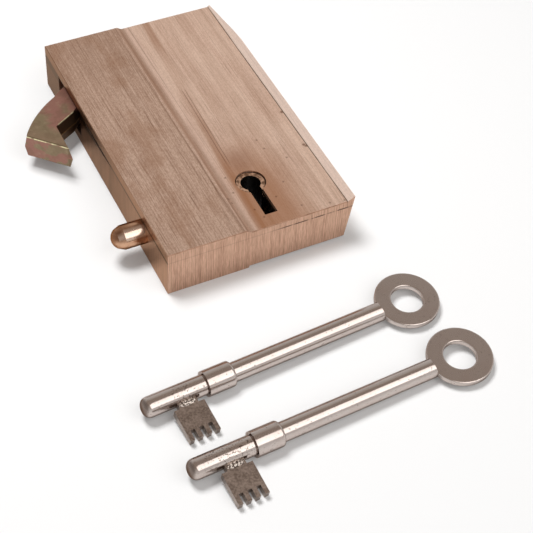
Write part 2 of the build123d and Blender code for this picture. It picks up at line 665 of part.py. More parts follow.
# Curtain: the slotted drum that turns with the key and closes the keyhole
with BuildPart() as key_curtain:
    drum_half = rear_top - CURTAIN_RECESS
    flange_level = cavity_top - SIDE_CLEARANCE
    with BuildSketch(Plane((KEYHOLE_X, KEYHOLE_Y, 0), x_dir=(1, 0, 0), z_dir=(0, -1, 0))):
        Polygon(
            (KEY_TIP_RADIUS + KEY_CLEARANCE, 0),
            (CURTAIN_RADIUS, 0),
            (CURTAIN_RADIUS, flange_level - CURTAIN_FLANGE),
            (CURTAIN_FLANGE_RADIUS, flange_level - CURTAIN_FLANGE),
            (CURTAIN_FLANGE_RADIUS, flange_level),
            (CURTAIN_RADIUS, flange_level),
            (CURTAIN_RADIUS, drum_half),
            (KEY_TIP_RADIUS + KEY_CLEARANCE, drum_half),
            align=None,
        )
    revolve(axis=Axis((KEYHOLE_X, KEYHOLE_Y, 0), (0, 0, 1)))
    mirror(about=Plane.XY)
    with BuildSketch(Plane.XY.offset(-drum_half)):
        with Locations((KEYHOLE_X, KEYHOLE_Y)):
            Rectangle(KEY_SLOT_WIDTH, key_slot_reach, align=(Align.CENTER, Align.MAX))
    extrude(amount=2 * drum_half, mode=Mode.SUBTRACT)
key_curtain.part.label = "key_curtain"
export_step(key_curtain.part, "parts/key_curtain.step")

# Keys: each rests on its collar, on the far end of its shank and on the edge of its bit
collar_rest = COLLAR_END - COLLAR_ROUND
shank_rest = KEY_LENGTH - 2 * BOW_RADIUS
key_slope = math.asin((COLLAR_RADIUS - SHANK_RADIUS) / (shank_rest - collar_rest))
tip_height = COLLAR_RADIUS / math.cos(key_slope) + collar_rest * math.sin(key_slope)
bit_height = tip_height - (BIT_START + BIT_WIDTH) * math.sin(key_slope)
bit_roll = math.asin((bit_height - BIT_THICKNESS / 2) / BIT_REACH)
bow_roll = math.radians(BOW_ROLL)
bow_centre = KEY_LENGTH - BOW_RADIUS
step_width = BIT_WIDTH / (2 * BIT_NOTCHES + 1)
for number, (tip, heading) in enumerate(zip(KEY_TIPS, KEY_HEADINGS), start=1):
    turn = math.radians(heading)
    along = Vector(
        math.cos(turn) * math.cos(key_slope),
        math.sin(turn) * math.cos(key_slope),
        -math.sin(key_slope),
    )
    level = Vector(-math.sin(turn), math.cos(turn), 0)
    bow_side = level * math.cos(bow_roll) + along.cross(level) * math.sin(bow_roll)
    bit_side = level * math.cos(bit_roll) + along.cross(level) * math.sin(bit_roll)
    tip_point = Vector(tip[0], tip[1], table_z + tip_height)
    bow_plane = Plane(tip_point, x_dir=along, z_dir=along.cross(bow_side))
    bit_plane = Plane(tip_point, x_dir=along, z_dir=along.cross(bit_side))

    with BuildPart() as key_bow:
        with BuildSketch(bow_plane.offset(-BOW_THICKNESS / 2)):
            with Locations((bow_centre, 0)):
                Circle(BOW_RADIUS)
                Circle(BOW_HOLE_RADIUS, mode=Mode.SUBTRACT)
        extrude(amount=BOW_THICKNESS)
        fillet(key_bow.edges(), BOW_EDGE)
    key_bow.part.label = f"key_{number}_bow"
    export_step(key_bow.part, f"parts/key_{number}_bow.step")

    with BuildPart() as key_shank:
        with BuildSketch(bow_plane):
            with BuildLine():
                Polyline((KEY_LENGTH - BOW_RADIUS, 0), (0, 0), (0, KEY_TIP_FLAT))
                ThreePointArc(
                    (0, KEY_TIP_FLAT),
                    (
                        KEY_TIP_DOME * (1 - math.sqrt(0.5)),
                        KEY_TIP_FLAT + (KEY_TIP_RADIUS - KEY_TIP_FLAT) * math.sqrt(0.5),
                    ),
                    (KEY_TIP_DOME, KEY_TIP_RADIUS),
                )
                Polyline(
                    (KEY_TIP_DOME, KEY_TIP_RADIUS),
                    (COLLAR_START - UNDERCUT_WIDTH, KEY_TIP_RADIUS),
                    (COLLAR_START - UNDERCUT_WIDTH, KEY_TIP_RADIUS - UNDERCUT_DEPTH),
                    (COLLAR_START, KEY_TIP_RADIUS - UNDERCUT_DEPTH),
                    (COLLAR_START, COLLAR_RADIUS),
                    (COLLAR_END - COLLAR_ROUND, COLLAR_RADIUS),
                )
                ThreePointArc(
                    (COLLAR_END - COLLAR_ROUND, COLLAR_RADIUS),
                    (
                        COLLAR_END - COLLAR_ROUND * (1 - math.sqrt(0.5)),
                        COLLAR_RADIUS - (COLLAR_RADIUS - SHANK_RADIUS) * (1 - math.sqrt(0.5)),
                    ),
                    (COLLAR_END, SHANK_RADIUS),
                )
                Polyline(
                    (COLLAR_END, SHANK_RADIUS),
                    (KEY_LENGTH - BOW_RADIUS, SHANK_RADIUS),
                    (KEY_LENGTH - BOW_RADIUS, 0),
                )
            make_face()
        revolve(axis=Axis(tip_point, along))
        with BuildSketch(bow_plane.offset(-2 * SHANK_RADIUS)):
            with Locations((bow_centre, 0)):
                Circle(BOW_RADIUS)
        extrude(amount=4 * SHANK_RADIUS, mode=Mode.SUBTRACT)
    key_shank.part.label = f"key_{number}_shank"
    export_step(key_shank.part, f"parts/key_{number}_shank.step")

    with BuildPart() as key_bit:
        with BuildSketch(bit_plane.offset(-BIT_THICKNESS / 2)):
            with Locations((BIT_START, -BIT_SHOULDER)):
                Rectangle(BIT_WIDTH, BIT_REACH - BIT_SHOULDER, align=(Align.MIN, Align.MAX))
            with Locations((BIT_START + BIT_NECK_INSET, 0)):
                Rectangle(BIT_WIDTH - 2 * BIT_NECK_INSET, BIT_SHOULDER, align=(Align.MIN, Align.MAX))
            for notch in range(BIT_NOTCHES):
                with Locations((BIT_START + (2 * notch + 1.5) * step_width, -BIT_REACH)):
                    Rectangle(step_width, 2 * BIT_NOTCH_DEPTH, mode=Mode.SUBTRACT)
        extrude(amount=BIT_THICKNESS)
        add(
            Solid.make_cylinder(
                KEY_TIP_RADIUS,
                COLLAR_START,
                Plane(tip_point, z_dir=along),
            ),
            mode=Mode.SUBTRACT,
        )
    key_bit.part.label = f"key_{number}_bit"
    export_step(key_bit.part, f"parts/key_{number}_bit.step")
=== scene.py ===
"""Dresses the gate lock: brushed brass case, passivated hook and nickel keys, and their stage."""

import math

import bmesh
import bpy
from bpy.props import FloatProperty, FloatVectorProperty, PointerProperty
from mathutils import Matrix, Vector, noise


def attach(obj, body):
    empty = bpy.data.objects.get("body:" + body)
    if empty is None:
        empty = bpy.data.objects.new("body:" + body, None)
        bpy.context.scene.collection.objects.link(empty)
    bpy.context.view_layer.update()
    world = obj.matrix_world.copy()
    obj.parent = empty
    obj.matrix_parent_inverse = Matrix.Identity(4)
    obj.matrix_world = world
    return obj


bl_info = {
    "name": "Gate Lock Finishes",
    "version": (1, 0, 0),
    "blender": (4, 5, 0),
    "location": "View3D > Sidebar > Gate Lock",
    "description": "Gives the gate lock and its keys their metals and stands them on a pale stage",
    "category": "Material",
}

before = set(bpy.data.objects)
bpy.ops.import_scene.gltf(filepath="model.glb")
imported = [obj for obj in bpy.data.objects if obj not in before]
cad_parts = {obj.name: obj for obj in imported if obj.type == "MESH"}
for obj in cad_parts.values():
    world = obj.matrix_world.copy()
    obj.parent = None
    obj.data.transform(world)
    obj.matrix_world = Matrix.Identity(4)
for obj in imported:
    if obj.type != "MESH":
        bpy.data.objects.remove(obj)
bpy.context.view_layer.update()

MM = 0.001
MM_IN_METRE = 1000.0
LEVERS = range(1, 6)
KEYS = (1, 2)

# Stage, in metres, and the camera's sensor in millimetres
FLOOR_Z = -10.25 * MM
FLOOR_GAP = 0.02 * MM
FLOOR_GREY = (0.67, 0.67, 0.67, 1.0)
FLOOR_GLOW = 0.12
WHITE = (1.0, 1.0, 1.0, 1.0)
SKY_STOPS = (
    (0.02, (0.92, 0.92, 0.92, 1.0)),
    (0.30, (0.74, 0.73, 0.72, 1.0)),
    (0.70, (0.57, 0.54, 0.51, 1.0)),
    (0.83, (0.38, 0.32, 0.28, 1.0)),
)
LAMP_AIM = Vector((0.03, -0.04, 0.0))
BACK_LAMP_PLACE = (-0.12, 0.20, 0.88)
BACK_LAMP_SIZE = 0.34
SOFTBOX_PLACE = (0.36, -0.68, 0.81)
SOFTBOX_SIZE = 0.90
CAMERA_PLACE = Vector((-135.73, -383.89, 387.15)) * MM
CAMERA_RIGHT = Vector((0.8990, -0.4350, 0.0470))
CAMERA_FORWARD = Vector((0.3250, 0.5910, -0.7380))
CAMERA_NEAR = 0.01
CAMERA_FAR = 20.0
SENSOR_WIDTH = 36.0

# Case and cover, in millimetres
STEP_X = 31.2
SEAM_Z = 6.05
RIM_LINE_X = 72.95
RELIEF_DEPTH = 2.6
KEYHOLE = ((44.2, -39.65), (44.2, -46.5), (44.2, -53.0))
KEYHOLE_REACH = 8.2
KEYHOLE_TOP = (7.30, 7.50)
BAND_X = 40.9
BAND_SLANT = 0.05
SCORE_X = 41.9
SCORE_SLANT = 0.029
SCORE_GAP = 1.2
STAIN_X = 45.0
STAIN_Y = -27.5
STAIN_HALF_WIDTH = 5.5
STAIN_HALF_LENGTH = 8.5
PITS = (
    (36.2, -34.2), (35.6, -42.6), (32.3, -45.4), (32.8, -47.6), (39.2, -53.7), (40.8, -58.5),
    (49.5, -50.7), (55.5, -44.6), (62.6, -33.2), (56.3, -58.5), (66.6, -61.5), (72.2, -62.4),
    (56.1, -19.9), (56.8, -25.3),
)
RIM_NICKS = ((72.4, -9.0), (71.9, -29.3), (72.5, -30.2))

# Hook, in millimetres: the nose's edge lies on x + y = -NOSE_EDGE, and the throat's flank leans
# by THROAT_COS and THROAT_SIN past a point THROAT_OUT in front of the forend at THROAT_Y
NOSE_EDGE = 3.2
THROAT_COS = 0.8595
THROAT_SIN = 0.511
THROAT_Y = 21.4
THROAT_OUT = 8.9
UPPER_EDGE = (4.7, 4.95)

# Keys and their beads of braze, in millimetres and degrees
TIP_Z = -4.88
KEY_SLOPE = 1.055
KEY_ROLL = 11.3
BIT_NECKS = ((-15.0, -114.6), (-10.9, -143.8))
WORN_PIN = (-11.0, -140.6)
BEAD_ALONG = 15.0
BEAD_ASIDE = -4.35
BEAD_RISE = 1.25
BEAD_HALF_SIZES = (3.4, 1.35, 0.95)
LUMP_SHARE = 0.035
LUMPS_PER_MM = 1.6
LUMP_SHIFT = 9.0

# How squarely a face has to look along an axis to count as facing it
SQUARE_ON = (0.5, 0.8)

# Share of the wider streaks in the linished brass
BROAD_SHARE = 0.16

# Tints of the metals where they are seen edge on
CASE_EDGE_ON = (0.80, 0.58, 0.44, 1.0)
HOOK_EDGE_ON = (0.80, 0.66, 0.54, 1.0)
PIN_EDGE_ON = (0.50, 0.36, 0.28, 1.0)
KEY_EDGE_ON = (0.42, 0.36, 0.33, 1.0)


def srgb(red, green, blue):
    """A colour written in the 0 to 255 steps of a colour picker, made linear."""
    def linear(step):
        share = step / 255
        return share / 12.92 if share <= 0.04045 else ((share + 0.055) / 1.055) ** 2.4
    return (linear(red), linear(green), linear(blue), 1.0)


class Wire:
    """A shader socket that takes part in plain arithmetic."""

    def __init__(self, graph, socket):
        self.graph = graph
        self.socket = socket

    def _math(self, operation, *values):
        return self.graph.node("ShaderNodeMath", {"operation": operation}, dict(enumerate(values)))

    def __add__(self, other):
        return self._math("ADD", self, other)

    def __radd__(self, other):
        return self._math("ADD", other, self)

    def __sub__(self, other):
        return self._math("SUBTRACT", self, other)

    def __rsub__(self, other):
        return self._math("SUBTRACT", other, self)

    def __mul__(self, other):
        return self._math("MULTIPLY", self, other)

    def __rmul__(self, other):
        return self._math("MULTIPLY", other, self)

    def __truediv__(self, other):
        return self._math("DIVIDE", self, other)

    def __pow__(self, other):
        return self._math("POWER", self, other)

    def absolute(self):
        return self._math("ABSOLUTE", self)

    def larger(self, other):
        return self._math("MAXIMUM", self, other)

    def clamp(self):
        """The value held between zero and one."""
        return self._math("MINIMUM", self._math("MAXIMUM", self, 0.0), 1.0)

    def between(self, low, high):
        """Zero below low and one above high, smooth between."""
        return self.graph.node(
            "ShaderNodeMapRange",
            {"interpolation_type": "SMOOTHSTEP"},
            {"Value": self, "From Min": low, "From Max": high},
        )


class Graph:
    """The emptied node tree of a material or world, and the one method that fills it."""

    def __init__(self, owner):
        owner.use_nodes = True
        self.tree = owner.node_tree
        self.tree.nodes.clear()

    def node(self, kind, settings, sockets, output=0):
        """Add a node, set its settings, then its sockets; gives one of its outputs."""
        made = self.tree.nodes.new(kind)
        for key, value in settings.items():
            if key == "stops":
                ramp = made.color_ramp
                while len(ramp.elements) < len(value):
                    ramp.elements.new(0.5)
                for element, (place, colour) in zip(ramp.elements, value):
                    element.position = place
                    element.color = colour
            else:
                setattr(made, key, value)
        for key, value in sockets.items():
            socket = made.inputs[key]
            if isinstance(value, Wire):
                self.tree.links.new(value.socket, socket)
            else:
                socket.default_value = value
        return Wire(self, made.outputs[output]) if len(made.outputs) else None

    def in_sight(self):
        """One for rays that the camera sends out, straight, off a mirror or through glass."""
        seen = self.node("ShaderNodeLightPath", {}, {}, "Is Camera Ray")
        mirrored = self.node("ShaderNodeLightPath", {}, {}, "Is Glossy Ray")
        passed = self.node("ShaderNodeLightPath", {}, {}, "Is Transmission Ray")
        return seen + mirrored + passed


class Finish(Graph):
    """One material and the short words that build its pattern."""

    def __init__(self, name):
        self.material = bpy.data.materials.new(name)
        super().__init__(self.material)

    def place(self, scale, offset=(0.0, 0.0, 0.0)):
        """Object coordinates in metres, stretched by scale and shifted."""
        spot = self.node("ShaderNodeTexCoord", {}, {}, "Object")
        return self.node(
            "ShaderNodeMapping",
            {"vector_type": "POINT"},
            {"Vector": spot, "Location": offset, "Scale": scale},
        )

    def axis(self, which):
        """One Object coordinate, in millimetres."""
        spot = self.node("ShaderNodeTexCoord", {}, {}, "Object")
        part = self.node("ShaderNodeSeparateXYZ", {}, {"Vector": spot}, which)
        return part * MM_IN_METRE

    def facing(self, which):
        """One part of the surface's own normal."""
        normal = self.node("ShaderNodeNewGeometry", {}, {}, "Normal")
        return self.node("ShaderNodeSeparateXYZ", {}, {"Vector": normal}, which)

    def noise(self, scale, offset=(0.0, 0.0, 0.0), detail=3.0, roughness=0.55):
        """Noise whose cells are stretched by scale, given in cells per metre."""
        return self.node(
            "ShaderNodeTexNoise",
            {"noise_dimensions": "3D"},
            {
                "Vector": self.place(scale, offset),
                "Scale": 1.0,
                "Detail": detail,
                "Roughness": roughness,
            },
        )

    def spots(self, places, radius, soft):
        """One near any of the places on the XY plane, in millimetres, and zero away from them."""
        flat = self.place((MM_IN_METRE, MM_IN_METRE, 0.0))
        found = None
        for x, y in places:
            gap = self.node(
                "ShaderNodeVectorMath",
                {"operation": "DISTANCE"},
                {0: flat, 1: (x, y, 0.0)},
                "Value",
            )
            mark = 1.0 - gap.between(radius, radius + soft)
            found = mark if found is None else found.larger(mark)
        return found

    def blend(self, factor, first, second, how="MIX"):
        """The first colour where factor is zero and the second where it is one."""
        return self.node(
            "ShaderNodeMix",
            {"data_type": "RGBA", "blend_type": how},
            {0: factor, 6: first, 7: second},
            2,
        )

    def bump(self, height, distance, strength):
        """The normal of a relief whose depth is distance, in metres."""
        return self.node(
            "ShaderNodeBump", {}, {"Height": height, "Distance": distance, "Strength": strength}
        )

    def metal(self, **sockets):
        """The shader and the output; names are the Principled sockets with underscores."""
        named = {key.replace("_", " "): value for key, value in sockets.items()}
        shader = self.node("ShaderNodeBsdfPrincipled", {}, named)
        self.node("ShaderNodeOutputMaterial", {}, {"Surface": shader})
        return self.material


def linished(finish, colours, along, fine=2000.0, short=1100.0, ticks=0.46):
    """Colour and height of brass rubbed along one axis: 0 for X, 1 for Y, 2 for Z.

    colours are the dark line and the light streak. fine is the number of lines per metre across
    the grain, short that of the ticks along it, and ticks the share of these ticks.
    """
    dark, light = colours

    def grain(across, length, offset, detail):
        scale = [across, across, across]
        scale[along] = length
        return finish.noise(tuple(scale), offset=offset, detail=detail, roughness=0.62)

    lines = grain(fine, 5.0, (0.0, 0.0, 0.0), 2.0)
    dashes = grain(1.3 * fine, short, (5.3, 2.1, 7.9), 2.0)
    streaks = grain(0.30 * fine, 3.0, (3.1, 1.7, 0.4), 3.0)
    bands = grain(0.07 * fine, 2.0, (0.3, 2.2, 5.1), 2.0)
    scratches = grain(1.1 * fine, 55.0, (8.2, 4.4, 1.6), 1.0)
    tone = lines.between(0.34, 0.66) * (1.0 - ticks - BROAD_SHARE)
    tone = tone + dashes.between(0.36, 0.64) * ticks
    broad = streaks.between(0.38, 0.62) * 0.6 + bands.between(0.38, 0.62) * 0.4
    colour = finish.blend(tone + broad * BROAD_SHARE, dark, light)
    colour = finish.blend(scratches.between(0.60, 0.72) * 0.55, colour, srgb(108, 74, 54))
    return colour, lines * 0.6 + dashes * 0.4


def grained(name, scale, light, dark, rough, metallic=1.0, detail=3.0, ridges=0.03 * MM):
    """A plain metal whose grain runs between two shades; ridges is the depth of its relief."""
    finish = Finish(name)
    grain = finish.noise(scale, detail=detail)
    colour = finish.blend(grain.between(0.4, 0.65), light, dark)
    relief = {"Normal": finish.bump(grain, ridges, 0.5)} if ridges else {}
    return finish.metal(Base_Color=colour, Metallic=metallic, Roughness=rough, **relief)


def paint(nodes, material):
    """Give CAD nodes one material in place of the one that they came with."""
    for name in nodes:
        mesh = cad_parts[name].data
        mesh.materials.clear()
        mesh.materials.append(material)


class GateLockFinishes(bpy.types.PropertyGroup):
    """Colours that set the metals of the lock and its keys."""

    brass_light: FloatVectorProperty(
        name="Brass streak", description="Light streaks of the linished brass",
        subtype="COLOR", size=4, min=0.0, max=1.0, default=srgb(240, 210, 190),
    )
    brass_dark: FloatVectorProperty(
        name="Brass line", description="Dark lines that the linishing leaves",
        subtype="COLOR", size=4, min=0.0, max=1.0, default=srgb(166, 133, 113),
    )
    brass_brown: FloatVectorProperty(
        name="Brass tarnish", description="Brown where the cover has darkened",
        subtype="COLOR", size=4, min=0.0, max=1.0, default=srgb(122, 88, 66),
    )
    forend_shade: FloatVectorProperty(
        name="Forend brass", description="Smooth darker brass of the forend",
        subtype="COLOR", size=4, min=0.0, max=1.0, default=srgb(122, 90, 70),
    )
    pin_brass: FloatVectorProperty(
        name="Pin brass", description="Polished brass of the locating pin",
        subtype="COLOR", size=4, min=0.0, max=1.0, default=srgb(206, 164, 134),
    )
    hook_rose: FloatVectorProperty(
        name="Passivation rose", description="Rose tone of the hook's passivated zinc",
        subtype="COLOR", size=4, min=0.0, max=1.0, default=srgb(152, 110, 98),
    )
    hook_olive: FloatVectorProperty(
        name="Passivation olive", description="Olive tone of the hook's passivated zinc",
        subtype="COLOR", size=4, min=0.0, max=1.0, default=srgb(138, 122, 97),
    )
    nickel: FloatVectorProperty(
        name="Nickel", description="Worn nickel of the keys",
        subtype="COLOR", size=4, min=0.0, max=1.0, default=srgb(196, 185, 179),
    )


class GateLockStage(bpy.types.PropertyGroup):
    """Sizes of the floor and the lens, and the strength of the studio light."""

    floor_size: FloatProperty(
        name="Floor size", description="Side of the square floor",
        subtype="DISTANCE", unit="LENGTH", min=0.5, max=20.0, default=6.0,
    )
    lens: FloatProperty(
        name="Lens", description="Focal length for a 36 mm sensor",
        subtype="NONE", min=20.0, max=300.0, default=97.05,
    )
    back_power: FloatProperty(
        name="Back lamp", description="Power of the lamp behind, which throws the shadows",
        unit="POWER", min=0.0, max=500.0, default=9.0,
    )
    front_power: FloatProperty(
        name="Front softbox",
        description="Power of the large lamp above the camera, seen in the polished metal",
        unit="POWER", min=0.0, max=500.0, default=4.4,
    )
    fill: FloatProperty(
        name="Fill", description="Share of the studio's own light that falls on matt surfaces",
        subtype="FACTOR", min=0.0, max=1.0, default=0.35,
    )


class GATELOCK_OT_stage(bpy.types.Operator):
    """Lay the floor, hang the lamps and set the camera"""

    bl_idname = "gate_lock.stage"
    bl_label = "Stage"

    def execute(self, context):
        settings = context.scene.gate_lock_stage
        self.lay_floor(context, settings.floor_size)
        self.light_studio(context, settings.fill)
        for name, place, size, power, mirrored in (
            ("back lamp", BACK_LAMP_PLACE, BACK_LAMP_SIZE, settings.back_power, False),
            ("front softbox", SOFTBOX_PLACE, SOFTBOX_SIZE, settings.front_power, True),
        ):
            self.hang_lamp(context, name, place, size, power, mirrored)
        self.set_camera(context, settings.lens)
        context.scene.view_settings.view_transform = "Standard"
        return {"FINISHED"}

    def lay_floor(self, context, side):
        """A square of matt grey that glows a little where it is seen."""
        mesh = bmesh.new()
        bmesh.ops.create_grid(mesh, x_segments=1, y_segments=1, size=side / 2)
        bmesh.ops.translate(mesh, verts=mesh.verts, vec=(0.0, 0.0, FLOOR_Z - FLOOR_GAP))
        data = bpy.data.meshes.new("floor")
        mesh.to_mesh(data)
        mesh.free()
        floor = bpy.data.objects.new("floor", data)
        context.scene.collection.objects.link(floor)
        paper = Finish("pale floor")
        strength = paper.in_sight().clamp() * FLOOR_GLOW
        glow = paper.node("ShaderNodeEmission", {}, {"Color": WHITE, "Strength": strength})
        matt = paper.node("ShaderNodeBsdfDiffuse", {}, {"Color": FLOOR_GREY})
        both = paper.node("ShaderNodeAddShader", {}, {0: matt, 1: glow})
        paper.node("ShaderNodeOutputMaterial", {}, {"Surface": both})
        data.materials.append(paper.material)

    def light_studio(self, context, fill):
        """A world that is pale below and darker above, and dimmer for matt surfaces."""
        world = bpy.data.worlds.new("studio")
        context.scene.world = world
        room = Graph(world)
        way = room.node("ShaderNodeTexCoord", {}, {}, "Generated")
        height = room.node("ShaderNodeSeparateXYZ", {}, {"Vector": way}, "Z")
        shade = room.node("ShaderNodeValToRGB", {"stops": SKY_STOPS}, {"Fac": height}, "Color")
        strength = (room.in_sight() + fill).clamp()
        sky = room.node("ShaderNodeBackground", {}, {"Color": shade, "Strength": strength})
        room.node("ShaderNodeOutputWorld", {}, {"Surface": sky})

    def hang_lamp(self, context, name, place, size, power, mirrored):
        """A square lamp that points at the lock; mirrored says whether metal shows it."""
        lamp = bpy.data.lights.new(name, "AREA")
        lamp.shape = "SQUARE"
        lamp.size = size
        lamp.energy = power
        holder = bpy.data.objects.new(name, lamp)
        holder.location = place
        holder.visible_glossy = mirrored
        holder.rotation_euler = (LAMP_AIM - Vector(place)).to_track_quat("-Z", "Y").to_euler()
        context.scene.collection.objects.link(holder)

    def set_camera(self, context, lens):
        """The photograph's place and direction of view."""
        camera = bpy.data.cameras.new("camera")
        camera.lens = lens
        camera.sensor_width = SENSOR_WIDTH
        camera.clip_start = CAMERA_NEAR
        camera.clip_end = CAMERA_FAR
        holder = bpy.data.objects.new("camera", camera)
        forward = CAMERA_FORWARD.normalized()
        up = CAMERA_RIGHT.normalized().cross(forward).normalized()
        right = forward.cross(up)
        turn = Matrix((right, up, -forward)).transposed().to_4x4()
        holder.matrix_world = Matrix.Translation(CAMERA_PLACE) @ turn
        context.scene.collection.objects.link(holder)
        context.scene.camera = holder


class GATELOCK_OT_case(bpy.types.Operator):
    """Finish the cover and the case in linished brass"""

    bl_idname = "gate_lock.case"
    bl_label = "Case and cover"

    def execute(self, context):
        tones = context.scene.gate_lock_finishes
        paint(["cover_plate"], self.brass(Finish("linished cover brass"), tones, True))
        paint(["case_body"], self.brass(Finish("linished case brass"), tones, False))
        return {"FINISHED"}

    def brass(self, finish, tones, on_cover):
        """Lines on the top and ends, a smooth forend, the dark seam, worn edges and painted shade.
        """
        x, y, z = (finish.axis(which) for which in "XYZ")
        colours = (tuple(tones.brass_dark), tuple(tones.brass_light))
        brown = tuple(tones.brass_brown)
        top, top_height = linished(finish, colours, 1)
        end, end_height = linished(finish, colours, 2, fine=2900.0, short=260.0, ticks=0.34)
        end = finish.blend(0.12, end, srgb(206, 166, 144))
        end = finish.blend(0.5, end, srgb(240, 216, 198), "MULTIPLY")
        on_end = finish.facing("Y").absolute().between(*SQUARE_ON)
        on_forend = (-1.0 * finish.facing("X")).between(*SQUARE_ON)
        on_top = finish.facing("Z").between(*SQUARE_ON)
        if on_cover:
            colour = self.cover_marks(finish, top, brown, x, y)
        else:
            colour = finish.blend(0.62, top, srgb(250, 230, 218))
            # Painted shade: the upward faces of the ledge along the forend, under the cover's
            # edge, are coloured near black
            ledge_shade = (1.0 - x.between(3.4, 3.7)) * finish.facing("Z").between(0.2, 0.4)
            colour = finish.blend(ledge_shade * 0.9, colour, srgb(40, 27, 20))
        colour = finish.blend(on_end, colour, end)
        colour = finish.blend(on_forend, colour, self.forend(finish, tones, on_cover, y, z))

        # A dark line on the joint between cover and case; on the forend it is widened into painted
        # shade under the cover's lip
        broken = finish.noise((260.0, 90.0, 60.0), offset=(4.0, 0.6, 0.2)).between(0.30, 0.52)
        gap = (z - SEAM_Z).absolute() / (1.0 + on_forend * 1.1)
        seam_and_shade = (1.0 - gap.between(0.10, 0.42)) * (1.0 - on_top)
        seam_and_shade = seam_and_shade * (0.14 + 0.8 * (x.between(40.0, 50.0) * broken + on_forend).clamp())
        colour = finish.blend(seam_and_shade, colour, srgb(44, 30, 22))

        # Worn edges at the ends, and the fine line along the rim
        edge = (finish.facing("Z") * finish.facing("Y").absolute()).between(0.30, 0.42)
        wear_and_highlight = finish.blend(broken, brown, srgb(172, 134, 112))
        colour = finish.blend(edge * 0.75, colour, wear_and_highlight)
        rim_line = (1.0 - (x - RIM_LINE_X).absolute().between(0.06, 0.26)) * on_top
        rim_line = rim_line * (0.45 + 0.55 * broken)
        colour = finish.blend(rim_line * 0.85, colour, srgb(74, 50, 36))

        # Painted shade on the walls of the keyhole, coloured near black
        keyhole_shade = finish.spots(KEYHOLE, KEYHOLE_REACH, 0.6) * (1.0 - on_top)
        keyhole_shade = keyhole_shade * (1.0 - z.between(*KEYHOLE_TOP))
        colour = finish.blend(keyhole_shade * 0.98, colour, srgb(12, 9, 7))

        height = top_height * (1.0 - on_end) + end_height * on_end
        return finish.metal(
            Base_Color=colour,
            Metallic=0.6 + on_forend * 0.15,
            Roughness=0.40 - on_forend * 0.06 + keyhole_shade * 0.4 + edge * 0.3 - top_height * 0.06,
            Normal=finish.bump(height, 0.06 * MM, 0.5),
            Specular_Tint=CASE_EDGE_ON,
        )

    def forend(self, finish, tones, on_cover, y, z):
        """Smooth cloudy brass, with painted light towards the pin and painted shade beyond the
        hook.
        """
        cloud = finish.noise((70.0, 210.0, 30.0), offset=(0.0, 1.3, 0.0), detail=4.0)
        shade = tuple(tones.forend_shade)
        plain = finish.blend(cloud.between(0.36, 0.64), shade, srgb(102, 75, 57))
        # Painted light towards the pin, lifting the pin's shade, then painted shade beyond the
        # hook
        plain = finish.blend((y * -1.0).between(6.0, 56.0) * 0.9, plain, srgb(180, 144, 120))
        plain = finish.blend(y.between(26.0, 44.0) * 0.9, plain, srgb(72, 50, 36))
        rubbed = finish.noise((1500.0, 1900.0, 60.0), offset=(0.4, 2.0, 0.0), detail=2.0)
        plain = finish.blend(rubbed.between(0.48, 0.66) * 0.34, plain, srgb(72, 48, 34))
        if on_cover:
            return finish.blend(0.45, plain, srgb(160, 120, 92))
        # Painted shade below the relief beside the hook's slot, under the cover's overhang
        depth = SEAM_Z - z - y.between(-6.0, 16.0) * RELIEF_DEPTH
        grime_and_shade = (1.0 - depth.between(0.3, 1.2)) * y.between(-10.0, 2.0)
        return finish.blend(grime_and_shade * 0.85, plain, srgb(34, 23, 16))

    def cover_marks(self, finish, colour, brown, x, y):
        """The cover's two halves and their wear, from the widest marks to the smallest."""
        cloud = finish.noise((48.0, 16.0, 48.0), offset=(1.2, 0.3, 0.0))
        raised = 1.0 - x.between(STEP_X - 0.6, STEP_X + 0.2)

        # Smooth haze, short nicks, and the tarnish of the raised half
        haze = finish.noise((160.0, 30.0, 160.0), offset=(0.7, 2.9, 0.0), detail=4.0)
        smooth = finish.blend(haze.between(0.36, 0.64), srgb(203, 171, 152), srgb(221, 192, 173))
        colour = finish.blend(0.18 + (1.0 - raised) * 0.40, colour, smooth)
        nicks = finish.noise((3000.0, 60.0, 3000.0), offset=(6.0, 3.0, 2.0), detail=1.0)
        nicks = nicks.between(0.58, 0.72)
        colour = finish.blend(nicks * (0.20 + raised * 0.20), colour, srgb(98, 68, 50))
        colour = finish.blend(raised * (0.21 + cloud * 0.22), colour, brown)
        colour = finish.blend(raised * y.between(8.0, 52.0) * 0.22, colour, brown)
        blots = finish.noise((70.0, 42.0, 70.0), offset=(2.2, 0.6, 0.0), detail=4.0)
        colour = finish.blend(blots.between(0.50, 0.66) * raised * 0.34, colour, srgb(140, 98, 68))

        # Long streaks on the lower half, and dark threads beside the step
        streaks = finish.noise((230.0, 4.0, 230.0), offset=(0.9, 0.2, 0.0), detail=2.0)
        streaks = streaks.between(0.44, 0.60)
        colour = finish.blend(streaks * (1.0 - raised) * 0.20, colour, srgb(150, 112, 86))
        threads = finish.noise((900.0, 4.0, 900.0), offset=(3.6, 0.8, 0.0), detail=1.0)
        beside = x.between(26.0, 29.5) * (1.0 - x.between(41.0, 46.0))
        threads = threads.between(0.58, 0.68) * beside
        colour = finish.blend(threads * 0.42, colour, srgb(108, 76, 54))

